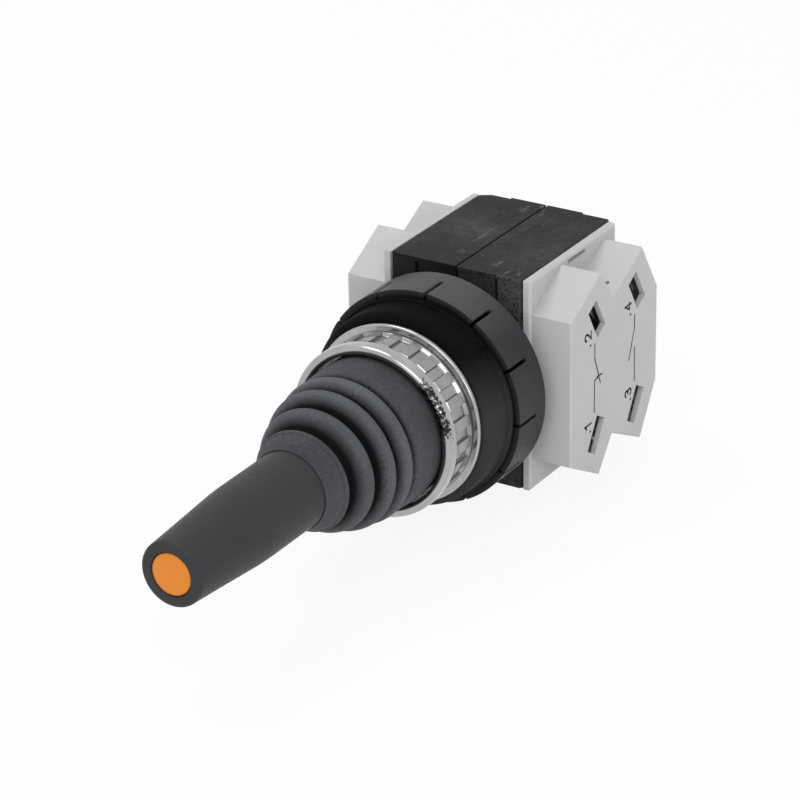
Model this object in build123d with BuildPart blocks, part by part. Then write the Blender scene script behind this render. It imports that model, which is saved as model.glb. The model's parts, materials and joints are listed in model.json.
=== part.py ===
from build123d import *
import math
import os

os.makedirs("parts", exist_ok=True)

# Panel-mounted joystick operator with two double contact blocks, millimetres
# X runs to the right-hand contact block, Y rearward along the lever axis, Z up
# The origin is the centre of the panel hole, at the panel's seat on the rear ring nut

# Clearances
thread_gap = 0.05
seat_gap = 0.05
pivot_gap = 0.05
guide_gap = 0.05
loose_gap = 0.3

# Lever travel
tilt_limit = 12.0

# Threaded bush
thread_radius = 15.0
thread_front = -13.0
bush_front = -17.0
nose_radius = 13.6
bush_bore = 12.5
neck_radius = 14.2
flange_thickness = 2.5
flange_bore = 9.5

# Panel gasket
gasket_thickness = 8.0
gasket_radius = 21.7
gasket_round = 2.0
gasket_rim_radius = 22.3
gasket_rim = 1.4

# Rear ring nut
rear_nut_length = 11.3
rear_nut_radius = 23.8
rear_nut_chamfer = 0.5
rear_nut_rim = 3.2
rear_nut_core = 2.6
rear_nut_hollow = 7.0
nut_slots = 12
nut_slot_angle = -3.5
nut_slot_length = 7.0
nut_slot_width = 0.9
nut_slot_depth = 3.6

# Front ring nut
front_nut_length = 11.9
front_nut_flange = 1.6
front_nut_flange_radius = 19.8
front_nut_band_radius = 18.5
front_nut_neck_radius = 18.0
front_nut_neck = 0.5
lip_length = 2.9
lip_radius = 19.0
lip_bore = 16.8
lip_round = 1.0
nut_recesses = 24
nut_recess_angle = 3.5
nut_recess_depth = 0.45
nut_recess_margin = 0.35

# Body
body_standoff = 3.7
body_width = 32.2
body_height = 48.0
body_depth = 38.2
body_wall = 2.5
body_split = 0.5
body_edge = 0.3
front_corner = 1.0
right_rear_corner = 0.8
right_rear_corner_depth = 0.9
left_rear_corner = 2.6
left_rear_corner_depth = 1.6
rear_panel_half_width = 8.8
rear_panel_raise = 0.65
face_groove_x = 9.6
face_groove_width = 0.8
face_groove_depth = 0.9
face_panel_depth = 0.3
face_panel_margin = 0.8
post_size = 6.2

# Long body screws
screw_radius = 1.5
screw_head_radius = 2.75
screw_head_height = 2.0
screw_recess = 0.2
screw_slot_width = 0.7
screw_slot_depth = 0.8

# Gimbal
pivot_y = 12.0
ring_outer = 11.6
ring_inner = 8.0
ring_length = 5.2
pin_radius = 1.5
pin_end_gap = 0.1
gimbal_pin_inner = 8.6
lever_pin_half = 11.2

# Lever
shaft_radius = 3.0
shaft_front = -70.0
hub_radius = 7.2
tail_radius = 1.6
ball_radius = 2.6
wire_bore = 1.3
wire_exit_y = 0.0

# Grip
grip_front = -91.0
grip_rear = -44.0
grip_shoulder_y = -68.0
grip_tip_radius = 6.95
grip_radius = 8.45
grip_edge = 0.8

# Tip push switch
button_radius = 4.45
button_travel = 2.0
button_rim_radius = 4.95
button_rim = 1.5
button_lip = 1.8
button_post_radius = 2.0
button_post = 2.1
button_gap = 0.12
capsule_radius = 6.0
capsule_bore = 5.05
capsule_length = 14.2
switch_gap = 1.4
button_spring_radius = 3.0
button_spring_wire = 0.3
button_spring_turns = 4

# Boot: top edge, then for each fold its crest and the valley behind it
boot_wall = 1.1
boot_top = (9.3, -49.8)
boot_folds = [
    ((11.1, -45.9), (10.1, -43.5)),
    ((13.4, -40.6), (12.4, -38.5)),
    ((14.9, -35.8), (14.0, -33.8)),
    ((15.9, -31.0), (15.1, -29.0)),
]
boot_band_radius = 16.3
boot_band_front = -27.0
boot_seat_length = 3.6

# Left-right shuttle
x_ball_y = 21.6
x_shuttle_thickness = 3.0
x_shuttle_half_width = 9.0
x_shuttle_half_height = 10.5
x_pad_inner = 6.5
x_pad_face = 10.0
x_pad_half_height = 3.5
x_pad_length = 4.5
shelf_inner = 9.0
shelf_outer = 12.5
shelf_length = 6.0
x_spring_z = 7.0
x_spring_radius = 1.2
x_spring_wire = 0.3
x_spring_turns = 4

# Up-down shuttle
z_ball_y = 33.0
z_shuttle_thickness = 3.0
z_shuttle_half_width = 13.3
z_shuttle_half_height = 9.0
z_slot_margin = 0.5
z_slot_sway = 0.12
rib_inner = 11.9
rib_thickness = 1.5
rib_half_height = 13.9
wedge_face = 11.0
wedge_slope = 0.35
wedge_half_height = 6.2
wedge_inner = 7.8
wedge_length = 5.6
arm_outer = 9.5
arm_half_height = 3.0
z_spring_radius = 2.0
z_spring_wire = 0.35
z_spring_turns = 7

# Contact plungers, bridges and springs
front_column = 10.0
rear_column = 28.5
plunger_radius = 2.0
plunger_tip_gap = 0.1
plunger_stop_radius = 2.9
plunger_stop = 1.1
plunger_pin_radius = 0.9
plunger_pin = 0.8
body_hole_gap = 0.6
bridge_x = 21.45
bridge_thickness = 1.0
bridge_width = 3.6
bridge_half_length = 8.0
contact_gap = 0.15
contact_spring_radius = 1.7
contact_spring_wire = 0.25
contact_spring_turns = 3

# Contact block base plate
plate_thickness = 1.75
plate_depth = 37.0
plate_edge = 0.4
index_slot_start = 16.0
index_slot_length = 7.6
index_slot_height = 0.9
index_slot_depth = 1.2
index_slot_edge = 1.3

# Contact block cover, its outline measured from the body's front face
cover_height = 9.4
cover_wall = 1.3
cover_edge = 0.4
tooth_front = (0.5, 16.55)
tooth_one_peak = (13.0, 23.3)
tooth_valley = (18.8, 16.0)
tooth_two_peak = (31.6, 22.4)
tooth_rear = (38.6, 11.1)
window_width = 4.0
window_length = 8.0
window_angle = 30.0
window_one = (11.6, 13.4)
window_two = (29.2, 13.4)
driver_hole_radius = 2.0
vent_radius = 0.45
vent_along = 0.21
vent_across = 0.68

# Block screws, behind the body's front face
block_screw_y = 23.4
block_screw_radius = 1.2
block_screw_head_radius = 2.0
block_screw_head = 1.4
block_screw_length = 8.0
block_boss_radius = 2.3

# Terminals
terminal_x = 22.0
terminal_width = 6.4
terminal_length = 5.2
terminal_thickness = 1.0
wire_space = 2.0
terminal_screw_radius = 1.5
terminal_head_radius = 2.6
terminal_head = 3.0
terminal_tip = 1.2
strip_width = 4.0
strip_thickness = 0.9
nc_strip = (19.2, 22.7)
no_strip = (23.35, 25.6)
strip_rise = 3.0

# Places worked out from the sizes above
body_front = rear_nut_length + body_standoff
body_rear = body_front + body_depth
plate_middle = body_front + plate_depth / 2
half_width = body_width / 2
half_height = body_height / 2
cavity_half_width = half_width - body_wall
cavity_half_height = half_height - body_wall
cavity_front = body_front + body_wall
cavity_rear = body_rear - body_wall
cavity_middle = (cavity_front + cavity_rear) / 2
rear_panel_face = body_rear + rear_panel_raise
flange_rear = cavity_front + flange_thickness
split_face = body_split / 2
plate_face = half_width + plate_thickness
cover_face = plate_face + cover_height
cover_inside = cover_face - cover_wall
front_nut_rear = -gasket_thickness
front_nut_front = front_nut_rear - front_nut_length
screw_x = cavity_half_width - post_size / 2 - loose_gap / 2
screw_z = cavity_half_height - post_size / 2
block_screw_z = screw_z - post_size / 2 - block_screw_head_radius - loose_gap
block_screw_places = [
    (body_front + block_screw_y, block_screw_z),
    (body_front + block_screw_y, -block_screw_z),
]
x_throw = (x_ball_y - pivot_y) * math.sin(math.radians(tilt_limit))
z_throw = (z_ball_y - pivot_y) * math.sin(math.radians(tilt_limit))
front_plunger_y = body_front + front_column
rear_plunger_y = body_front + rear_column
wedge_normal = math.hypot(1, wedge_slope)
front_tip = x_pad_face + plunger_tip_gap
rear_tip = wedge_face + wedge_normal * (plunger_radius + plunger_tip_gap) - plunger_radius
sides = {"right": 1, "left": -1}
rear_corners = {
    1: (right_rear_corner, right_rear_corner_depth),
    -1: (left_rear_corner, left_rear_corner_depth),
}


def save(piece, name):
    piece.label = name
    export_step(piece, f"parts/{name}.step")


def across(y):
    """Plane square to the lever axis: local x is X, local y is Z, extrusion runs forward."""
    return Plane.XZ.offset(-y)


def coil(start, direction, radius, wire, turns, length):
    """Helical spring whose end coils lie inside the given length."""
    pitch = (length - 2 * wire) / turns
    frame = Plane(origin=start, z_dir=direction)
    middle = frame.origin + frame.z_dir * wire
    with BuildPart() as spring:
        with BuildLine() as path:
            Helix(pitch=pitch, height=pitch * turns, radius=radius, center=middle, direction=frame.z_dir)
        with BuildSketch(Plane(origin=path.line @ 0, z_dir=path.line % 0)):
            Circle(wire)
        sweep(is_frenet=True)
    return spring.part


# Threaded bush with its neck and the square flange inside the body
with BuildPart() as threaded_bush:
    with BuildSketch(Plane.XY):
        with BuildLine():
            Polyline(
                (bush_bore, bush_front),
                (nose_radius, bush_front),
                (nose_radius, thread_front),
                (thread_radius, thread_front),
                (thread_radius, body_front),
                (neck_radius, body_front),
                (neck_radius, cavity_front),
                (bush_bore, cavity_front),
                close=True,
            )
        make_face()
    revolve(axis=Axis.Y)
    with BuildSketch(across(cavity_front)):
        Rectangle(2 * (cavity_half_width - loose_gap), 2 * (cavity_half_height - loose_gap))
        Circle(flange_bore, mode=Mode.SUBTRACT)
        with GridLocations(2 * screw_x, 2 * screw_z, 2, 2):
            Circle(screw_radius + thread_gap, mode=Mode.SUBTRACT)
    extrude(amount=-flange_thickness)
    with BuildSketch(Plane.YZ):
        with Locations((pivot_y, 0)):
            Circle(pin_radius + seat_gap)
    extrude(amount=thread_radius + 1, both=True, mode=Mode.SUBTRACT)
save(threaded_bush.part, "threaded_bush")

# Panel gasket with its thin rear rim
with BuildPart() as panel_gasket:
    with BuildSketch(across(0)):
        Circle(gasket_radius)
    extrude(amount=gasket_thickness)
    fillet(panel_gasket.edges().group_by(Axis.Y)[0], gasket_round)
    with BuildSketch(across(0)):
        Circle(gasket_rim_radius)
    extrude(amount=gasket_rim)
    with BuildSketch(across(0)):
        Circle(thread_radius + thread_gap)
    extrude(amount=gasket_thickness, mode=Mode.SUBTRACT)
save(panel_gasket.part, "panel_gasket")

# Rear ring nut with slots from its front face and a hollow from its rear face
with BuildPart() as rear_ring_nut:
    with BuildSketch(across(0)):
        Circle(rear_nut_radius)
    extrude(amount=-rear_nut_length)
    chamfer(rear_ring_nut.edges().group_by(Axis.Y)[-1], rear_nut_chamfer)
    with BuildSketch(across(rear_nut_length)):
        Circle(rear_nut_radius - rear_nut_rim)
        Circle(thread_radius + rear_nut_core, mode=Mode.SUBTRACT)
    extrude(amount=rear_nut_hollow, mode=Mode.SUBTRACT)
    with BuildSketch(across(0)):
        Circle(thread_radius + thread_gap)
    extrude(amount=-rear_nut_length, mode=Mode.SUBTRACT)
    with BuildSketch(across(0)):
        with PolarLocations(rear_nut_radius, nut_slots, start_angle=nut_slot_angle):
            Rectangle(2 * nut_slot_depth, nut_slot_width)
    extrude(amount=-nut_slot_length, mode=Mode.SUBTRACT)
save(rear_ring_nut.part, "rear_ring_nut")

# Front ring nut: flange, neck, recessed band and rounded lip around the boot
band_front = front_nut_front + lip_length
band_rear = front_nut_rear - front_nut_flange - front_nut_neck
with BuildPart() as front_ring_nut:
    with BuildSketch(Plane.XY):
        with BuildLine():
            Polyline(
                (thread_radius + thread_gap, front_nut_rear),
                (front_nut_flange_radius, front_nut_rear),
                (front_nut_flange_radius, front_nut_rear - front_nut_flange),
                (front_nut_neck_radius, front_nut_rear - front_nut_flange),
                (front_nut_neck_radius, band_rear),
                (front_nut_band_radius, band_rear),
                (front_nut_band_radius, band_front),
                (lip_radius, band_front),
                (lip_radius, front_nut_front),
                (lip_bore, front_nut_front),
                (lip_bore, thread_front),
                (thread_radius + thread_gap, thread_front),
                close=True,
            )
        make_face()
    revolve(axis=Axis.Y)
    fillet(front_ring_nut.edges().group_by(Axis.Y)[0], lip_round)
    recess_length = band_rear - band_front - 2 * nut_recess_margin
    recess_width = math.pi * front_nut_band_radius / nut_recesses
    with BuildSketch(across(band_front + nut_recess_margin)):
        with PolarLocations(front_nut_band_radius, nut_recesses, start_angle=nut_recess_angle):
            Rectangle(2 * nut_recess_depth, recess_width)
    extrude(amount=-recess_length, mode=Mode.SUBTRACT)
save(front_ring_nut.part, "front_ring_nut")

# Ribbed boot, a closed rubber skin from the bush nose to the grip
with BuildPart() as boot:
    with BuildSketch(Plane.XY):
        with BuildLine():
            start = boot_top
            for crest, valley in boot_folds:
                ThreePointArc(start, crest, valley)
                start = valley
            Polyline(
                start,
                (boot_band_radius, boot_band_front),
                (boot_band_radius, thread_front - loose_gap),
                (nose_radius + seat_gap, thread_front - loose_gap),
                (nose_radius + seat_gap, thread_front - loose_gap - boot_seat_length),
                (boot_band_radius - boot_wall, thread_front - loose_gap - boot_seat_length - boot_wall),
                (boot_band_radius - boot_wall, boot_band_front),
                (start[0] - boot_wall, start[1]),
            )
            inner = [(boot_top[0], boot_top[1])] + [valley for crest, valley in boot_folds]
            for number in reversed(range(len(boot_folds))):
                crest = boot_folds[number][0]
                ahead = inner[number]
                behind = inner[number + 1]
                ahead_wall = boot_wall if number else boot_top[0] - grip_radius - loose_gap
                ThreePointArc(
                    (behind[0] - boot_wall, behind[1]),
                    (crest[0] - boot_wall, crest[1]),
                    (ahead[0] - ahead_wall, ahead[1]),
                )
            Line((grip_radius + loose_gap, boot_top[1]), boot_top)
        make_face()
    revolve(axis=Axis.Y)
save(boot.part, "boot")


def body_half(side):
    """One moulded half of the body: wall, screw posts, shuttle shelves, shuttle ribs and holes."""
    inner_depth = cavity_half_width - split_face
    corner, corner_depth = rear_corners[side]
    with BuildPart() as half:
        with BuildSketch(Plane.XY.offset(-half_height)):
            with BuildLine():
                Polyline(
                    (side * split_face, body_front),
                    (side * (half_width - front_corner), body_front),
                    (side * half_width, body_front + front_corner),
                    (side * half_width, body_rear - corner_depth),
                    (side * (half_width - corner), body_rear),
                    (side * rear_panel_half_width, body_rear),
                    (side * rear_panel_half_width, rear_panel_face),
                    (side * split_face, rear_panel_face),
                    close=True,
                )
            make_face()
        extrude(amount=body_height)
        long_edges = half.edges().filter_by(Axis.Y).sort_by(lambda edge: side * edge.center().X)
        chamfer(long_edges[-2:], body_edge)
        with BuildSketch(Plane.YZ.offset(side * split_face)):
            with Locations((cavity_middle, 0)):
                Rectangle(body_depth - 2 * body_wall, body_height - 2 * body_wall)
        extrude(amount=side * inner_depth, mode=Mode.SUBTRACT)
        # Posts that carry the long screws from the rear wall to the bush flange
        with BuildSketch(across(flange_rear + guide_gap)):
            with Locations((side * screw_x, screw_z), (side * screw_x, -screw_z)):
                Rectangle(post_size + loose_gap, post_size)
        extrude(amount=-(cavity_rear - flange_rear - guide_gap))
        # Shelves above and below the left-right shuttle, grooved for its edges
        groove_rear = flange_rear + x_shuttle_thickness + 3 * guide_gap
        for up in (1, -1):
            with BuildSketch(across(flange_rear + guide_gap)):
                with Locations((side * (split_face + inner_depth / 2), up * (shelf_inner + shelf_outer) / 2)):
                    Rectangle(inner_depth, shelf_outer - shelf_inner)
            extrude(amount=-shelf_length)
            with BuildSketch(across(flange_rear)):
                with Locations((0, up * (x_shuttle_half_height + guide_gap) / 2)):
                    Rectangle(2 * (cavity_half_width - loose_gap), x_shuttle_half_height + guide_gap)
            extrude(amount=-(groove_rear - flange_rear), mode=Mode.SUBTRACT)
        # Ribs before and behind the up-down shuttle
        rib_offset = z_shuttle_thickness / 2 + guide_gap + rib_thickness / 2
        with BuildSketch(Plane.YZ.offset(side * cavity_half_width)):
            with Locations((z_ball_y - rib_offset, 0), (z_ball_y + rib_offset, 0)):
                Rectangle(rib_thickness, 2 * rib_half_height)
        extrude(amount=-side * (cavity_half_width - rib_inner))
        # Neck hole, screw holes with head recesses
        with BuildSketch(across(body_front)):
            Circle(neck_radius + seat_gap)
        extrude(amount=-body_wall, mode=Mode.SUBTRACT)
        with BuildSketch(across(flange_rear)):
            with Locations((side * screw_x, screw_z), (side * screw_x, -screw_z)):
                Circle(screw_radius + thread_gap)
        extrude(amount=-(body_rear - flange_rear), mode=Mode.SUBTRACT)
        with BuildSketch(across(rear_panel_face)):
            with Locations((side * screw_x, screw_z), (side * screw_x, -screw_z)):
                Circle(screw_head_radius + loose_gap)
        extrude(amount=rear_panel_raise + screw_recess + screw_head_height, mode=Mode.SUBTRACT)
        # Plunger holes and block screw holes through the side wall
        with BuildSketch(Plane.YZ.offset(side * cavity_half_width)):
            with Locations((front_plunger_y, 0), (rear_plunger_y, 0)):
                Circle(plunger_radius + body_hole_gap)
            with Locations(*block_screw_places):
                Circle(block_screw_radius + thread_gap)
        extrude(amount=side * body_wall, mode=Mode.SUBTRACT)
        # Shallow middle panel with a side groove, on the front face
        panel_height = body_height - 2 * face_panel_margin
        with BuildSketch(across(body_front)):
            with Locations((side * face_groove_x / 2, 0)):
                Rectangle(face_groove_x, panel_height)
        extrude(amount=-face_panel_depth, mode=Mode.SUBTRACT)
        with BuildSketch(across(body_front)):
            with Locations((side * face_groove_x, 0)):
                Rectangle(face_groove_width, panel_height)
        extrude(amount=-face_groove_depth, mode=Mode.SUBTRACT)
    return half.part


for side_name, side in sides.items():
    save(body_half(side), f"body_{side_name}_half")

# Long screws from the rear face into the bush flange
with BuildPart() as body_screws:
    head_rear = body_rear - screw_recess
    with BuildSketch(across(head_rear)):
        with GridLocations(2 * screw_x, 2 * screw_z, 2, 2):
            Circle(screw_head_radius)
    extrude(amount=screw_head_height)
    with BuildSketch(across(head_rear - screw_head_height)):
        with GridLocations(2 * screw_x, 2 * screw_z, 2, 2):
            Circle(screw_radius)
    extrude(amount=head_rear - screw_head_height - cavity_front)
    with BuildSketch(across(head_rear)):
        with GridLocations(2 * screw_x, 2 * screw_z, 2, 2):
            Rectangle(2 * screw_head_radius, screw_slot_width)
    extrude(amount=screw_slot_depth, mode=Mode.SUBTRACT)
save(body_screws.part, "body_screws")

# Side pins of the gimbal, held in the bush
with BuildPart() as gimbal_pins:
    with BuildSketch(Plane.YZ.offset(gimbal_pin_inner)):
        with Locations((pivot_y, 0)):
            Circle(pin_radius)
    extrude(amount=thread_radius - pin_end_gap - gimbal_pin_inner)
    mirror(about=Plane.YZ)
save(gimbal_pins.part, "gimbal_pins")

# Gimbal ring
with BuildPart() as gimbal_ring:
    with BuildSketch(across(pivot_y - ring_length / 2)):
        Circle(ring_outer)
        Circle(ring_inner, mode=Mode.SUBTRACT)
    extrude(amount=-ring_length)
    with BuildSketch(Plane.YZ):
        with Locations((pivot_y, 0)):
            Circle(pin_radius + pivot_gap)
    extrude(amount=ring_outer + 1, both=True, mode=Mode.SUBTRACT)
    with BuildSketch(Plane.XY):
        with Locations((0, pivot_y)):
            Circle(pin_radius + pivot_gap)
    extrude(amount=ring_outer + 1, both=True, mode=Mode.SUBTRACT)
save(gimbal_ring.part, "gimbal_ring")

# Lever pin through the hub and the ring
with BuildPart() as lever_pin:
    with BuildSketch(Plane.XY):
        with Locations((0, pivot_y)):
            Circle(pin_radius)
    extrude(amount=lever_pin_half, both=True)
save(lever_pin.part, "lever_pin")

# Lever shaft: hollow rod, round hub and a thin tail with two drive balls
with BuildPart() as lever_shaft:
    with BuildSketch(across(shaft_front)):
        Circle(shaft_radius)
    extrude(amount=-(pivot_y - shaft_front))
    with BuildSketch(across(pivot_y)):
        Circle(tail_radius)
    extrude(amount=-(z_ball_y - pivot_y))
    with Locations((0, pivot_y, 0)):
        Sphere(hub_radius)
    with Locations((0, x_ball_y, 0), (0, z_ball_y, 0)):
        Sphere(ball_radius)
    with BuildSketch(Plane.XY):
        with Locations((0, pivot_y)):
            Circle(pin_radius)
    extrude(amount=hub_radius, both=True, mode=Mode.SUBTRACT)
    with BuildSketch(across(shaft_front)):
        Circle(wire_bore)
    extrude(amount=-(wire_exit_y - shaft_front), mode=Mode.SUBTRACT)
    with BuildSketch(Plane.XY):
        with Locations((0, wire_exit_y - wire_bore)):
            Circle(wire_bore)
    extrude(amount=-shaft_radius, mode=Mode.SUBTRACT)
save(lever_shaft.part, "lever_shaft")

# Grip: tapered nose, straight barrel, bores for the shaft and the switch capsule
capsule_front = grip_front + button_lip
capsule_rear = capsule_front + capsule_length
capsule_depth = button_gap + button_rim + button_post + button_travel + switch_gap
with BuildPart() as lever_grip:
    with BuildSketch(Plane.XY):
        with BuildLine():
            Polyline(
                (button_radius + button_gap, grip_front),
                (grip_tip_radius, grip_front),
                (grip_radius, grip_shoulder_y),
                (grip_radius, grip_rear),
                (shaft_radius, grip_rear),
                (shaft_radius, capsule_rear),
                (capsule_radius, capsule_rear),
                (capsule_radius, capsule_front),
                (button_radius + button_gap, capsule_front),
                close=True,
            )
        make_face()
    revolve(axis=Axis.Y)
    front_edges = lever_grip.edges().group_by(Axis.Y)[0]
    fillet(front_edges.sort_by(SortBy.RADIUS)[-1], grip_edge)
save(lever_grip.part, "lever_grip")

# Push switch capsule behind the button
with BuildPart() as tip_switch:
    with BuildSketch(across(capsule_front)):
        Circle(capsule_radius)
    extrude(amount=-(capsule_rear - capsule_front))
    with BuildSketch(across(capsule_front)):
        Circle(capsule_bore)
    extrude(amount=-capsule_depth, mode=Mode.SUBTRACT)
save(tip_switch.part, "tip_switch")

# Button: flush disc, guide rim behind the grip's lip, short post for the spring
rim_front = capsule_front + button_gap
rim_rear = rim_front + button_rim
with BuildPart() as tip_button:
    with BuildSketch(across(grip_front)):
        Circle(button_radius)
    extrude(amount=-(rim_rear - grip_front))
    with BuildSketch(across(rim_front)):
        Circle(button_rim_radius)
    extrude(amount=-button_rim)
    with BuildSketch(across(rim_rear)):
        Circle(button_post_radius)
    extrude(amount=-button_post)
save(tip_button.part, "tip_button")

spring_room = capsule_front + capsule_depth - rim_rear
button_spring = coil(
    (0, rim_rear, 0), (0, 1, 0), button_spring_radius, button_spring_wire, button_spring_turns, spring_room
)
save(button_spring, "button_spring")

# Left-right shuttle: slotted plate with two pads that push the front plungers
x_plate_front = flange_rear + 2 * guide_gap
with BuildPart() as x_shuttle:
    with BuildSketch(across(x_plate_front)):
        Rectangle(2 * x_shuttle_half_width, 2 * x_shuttle_half_height)
        SlotCenterToCenter(2 * (x_throw + loose_gap), 2 * (ball_radius + guide_gap), rotation=90, mode=Mode.SUBTRACT)
    extrude(amount=-x_shuttle_thickness)
    pad_middle = (x_pad_inner + x_pad_face) / 2
    with BuildSketch(across(x_plate_front + x_shuttle_thickness / 2)):
        with Locations((pad_middle, 0), (-pad_middle, 0)):
            Rectangle(x_pad_face - x_pad_inner, 2 * x_pad_half_height)
    extrude(amount=-(front_plunger_y + x_pad_length / 2 - x_plate_front))
save(x_shuttle.part, "x_shuttle")

# Up-down shuttle: slotted plate, two arms and two wedges that push the rear plungers
z_plate_front = z_ball_y - z_shuttle_thickness / 2
z_plate_rear = z_ball_y + z_shuttle_thickness / 2
wedge_rear = rear_plunger_y + wedge_length / 2
slope_rise = wedge_slope * wedge_half_height
with BuildPart() as z_shuttle:
    with BuildSketch(across(z_plate_front)):
        Rectangle(2 * z_shuttle_half_width, 2 * z_shuttle_half_height)
        Rectangle(
            2 * (z_throw + ball_radius + z_slot_margin),
            2 * (ball_radius + guide_gap + z_slot_sway),
            mode=Mode.SUBTRACT,
        )
    extrude(amount=-z_shuttle_thickness)
    arm_middle = (wedge_inner + arm_outer) / 2
    with BuildSketch(across(z_plate_rear)):
        with Locations((arm_middle, 0), (-arm_middle, 0)):
            Rectangle(arm_outer - wedge_inner, 2 * arm_half_height)
    extrude(amount=-(wedge_rear - z_plate_rear))
    with BuildSketch(across(wedge_rear - wedge_length)):
        for side in sides.values():
            with BuildLine():
                Polyline(
                    (side * wedge_inner, side * -wedge_half_height),
                    (side * (wedge_face - slope_rise), side * -wedge_half_height),
                    (side * (wedge_face + slope_rise), side * wedge_half_height),
                    (side * wedge_inner, side * wedge_half_height),
                    close=True,
                )
            make_face()
    extrude(amount=-wedge_length)
save(z_shuttle.part, "z_shuttle")

# Centring springs of both shuttles
x_spring_y = x_plate_front + x_shuttle_thickness / 2
x_spring_room = cavity_half_width - x_shuttle_half_width
x_springs = [
    coil(
        (side * x_shuttle_half_width, x_spring_y, up * x_spring_z),
        (side, 0, 0),
        x_spring_radius,
        x_spring_wire,
        x_spring_turns,
        x_spring_room,
    )
    for side in sides.values()
    for up in (1, -1)
]
save(Compound(children=x_springs), "x_centring_springs")

z_spring_room = cavity_half_height - z_shuttle_half_height
z_springs = [
    coil(
        (0, z_ball_y, up * z_shuttle_half_height),
        (0, 0, up),
        z_spring_radius,
        z_spring_wire,
        z_spring_turns,
        z_spring_room,
    )
    for up in (1, -1)
]
save(Compound(children=z_springs), "z_centring_springs")


def cover_outline():
    """Two-tooth outline in the Y-Z plane, the lower half mirroring the upper half."""
    corners = (tooth_front, tooth_one_peak, tooth_valley, tooth_two_peak, tooth_rear)
    upper = [(body_front + y, z) for y, z in corners]
    lower = [(y, -z) for y, z in reversed(upper)]
    return upper + lower


def base_plate(side):
    """Flat plate between the body and the cover, with plunger guides and index slots."""
    with BuildPart() as plate:
        with BuildSketch(Plane.YZ.offset(side * half_width)):
            with Locations((plate_middle, 0)):
                Rectangle(plate_depth, body_height)
            with Locations((front_plunger_y, 0), (rear_plunger_y, 0)):
                Circle(plunger_radius + guide_gap, mode=Mode.SUBTRACT)
            with Locations(*block_screw_places):
                Circle(block_screw_radius + thread_gap, mode=Mode.SUBTRACT)
        extrude(amount=side * plate_thickness)
        outer_face = plate.faces().sort_by(Axis.X)[-1 if side > 0 else 0]
        chamfer(outer_face.outer_wire().edges(), plate_edge)
        slot_y = body_front + index_slot_start + index_slot_length / 2
        slot_z = half_height - index_slot_edge
        with BuildSketch(Plane.YZ.offset(side * plate_face)):
            with Locations((slot_y, slot_z), (slot_y, -slot_z)):
                Rectangle(index_slot_length, index_slot_height)
        extrude(amount=-side * index_slot_depth, mode=Mode.SUBTRACT)
    return plate.part


def slope_normal(start, end):
    """Outward normal, in Y and Z, of the outline stretch from start to end of the upper half."""
    run = end[0] - start[0]
    rise = end[1] - start[1]
    length = math.hypot(run, rise)
    return (-rise / length, run / length)


def terminal_places(window, start, end):
    """Middle of a column's two windows and the outward normal of the slope its screws are reached through."""
    normal = slope_normal(start, end)
    reach = (start[0] - window[0]) * normal[0] + (start[1] - window[1]) * normal[1]
    places = []
    for up in (1, -1):
        place = (body_front + window[0], up * window[1])
        places.append((place, (normal[0], up * normal[1]), reach))
    return places


front_places = terminal_places(window_one, tooth_one_peak, tooth_valley)
rear_places = terminal_places(window_two, tooth_two_peak, tooth_rear)


def terminal_plane(side, place, normal):
    return Plane(origin=(side * terminal_x, place[0], place[1]), x_dir=(1, 0, 0), z_dir=(0, *normal))


def cover(side):
    """Two-tooth cover shell with windows, screwdriver holes, a vent and two screw bosses."""
    with BuildPart() as shell:
        with BuildSketch(Plane.YZ.offset(side * plate_face)):
            Polygon(*cover_outline(), align=None)
        extrude(amount=side * cover_height)
        outer_face = shell.faces().sort_by(Axis.X)[-1 if side > 0 else 0]
        fillet(outer_face.edges(), cover_edge)
        with BuildSketch(Plane.YZ.offset(side * plate_face)):
            Polygon(*cover_outline(), align=None)
            offset(amount=-cover_wall, kind=Kind.INTERSECTION, mode=Mode.REPLACE)
        extrude(amount=side * (cover_height - cover_wall), mode=Mode.SUBTRACT)
        # Screw bosses
        with BuildSketch(Plane.YZ.offset(side * plate_face)):
            with Locations(*block_screw_places):
                Circle(block_boss_radius)
        extrude(amount=side * (cover_height - cover_wall))
        with BuildSketch(Plane.YZ.offset(side * plate_face)):
            with Locations(*block_screw_places):
                Circle(block_screw_radius + thread_gap)
        extrude(amount=side * (block_screw_length - body_wall), mode=Mode.SUBTRACT)
        # Windows and screwdriver holes
        for place, normal, reach in front_places + rear_places:
            turn = window_angle if place[1] > 0 else -window_angle
            with BuildSketch(Plane.YZ.offset(side * cover_face)):
                with Locations(place):
                    Rectangle(window_width, window_length, rotation=turn)
            extrude(amount=-side * cover_wall, mode=Mode.SUBTRACT)
            with BuildSketch(terminal_plane(side, place, normal)):
                Circle(driver_hole_radius)
            extrude(amount=reach + loose_gap, mode=Mode.SUBTRACT)
        # Vent in the front slope of the rear tooth
        vent_normal = slope_normal(tooth_valley, tooth_two_peak)
        vent_y = tooth_valley[0] + vent_along * (tooth_two_peak[0] - tooth_valley[0])
        vent_z = tooth_valley[1] + vent_along * (tooth_two_peak[1] - tooth_valley[1])
        vent_x = side * (plate_face + vent_across * cover_height)
        with BuildSketch(Plane(origin=(vent_x, body_front + vent_y, vent_z), z_dir=(0, *vent_normal))):
            Circle(vent_radius)
        extrude(amount=-cover_wall, mode=Mode.SUBTRACT)
    return shell.part


def block_screws(side):
    """Two screws from inside the body half into the cover's bosses."""
    with BuildPart() as screws:
        with BuildSketch(Plane.YZ.offset(side * cavity_half_width)):
            with Locations(*block_screw_places):
                Circle(block_screw_head_radius)
        extrude(amount=-side * block_screw_head)
        with BuildSketch(Plane.YZ.offset(side * cavity_half_width)):
            with Locations(*block_screw_places):
                Circle(block_screw_radius)
        extrude(amount=side * (block_screw_length - seat_gap))
    return screws.part


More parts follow.
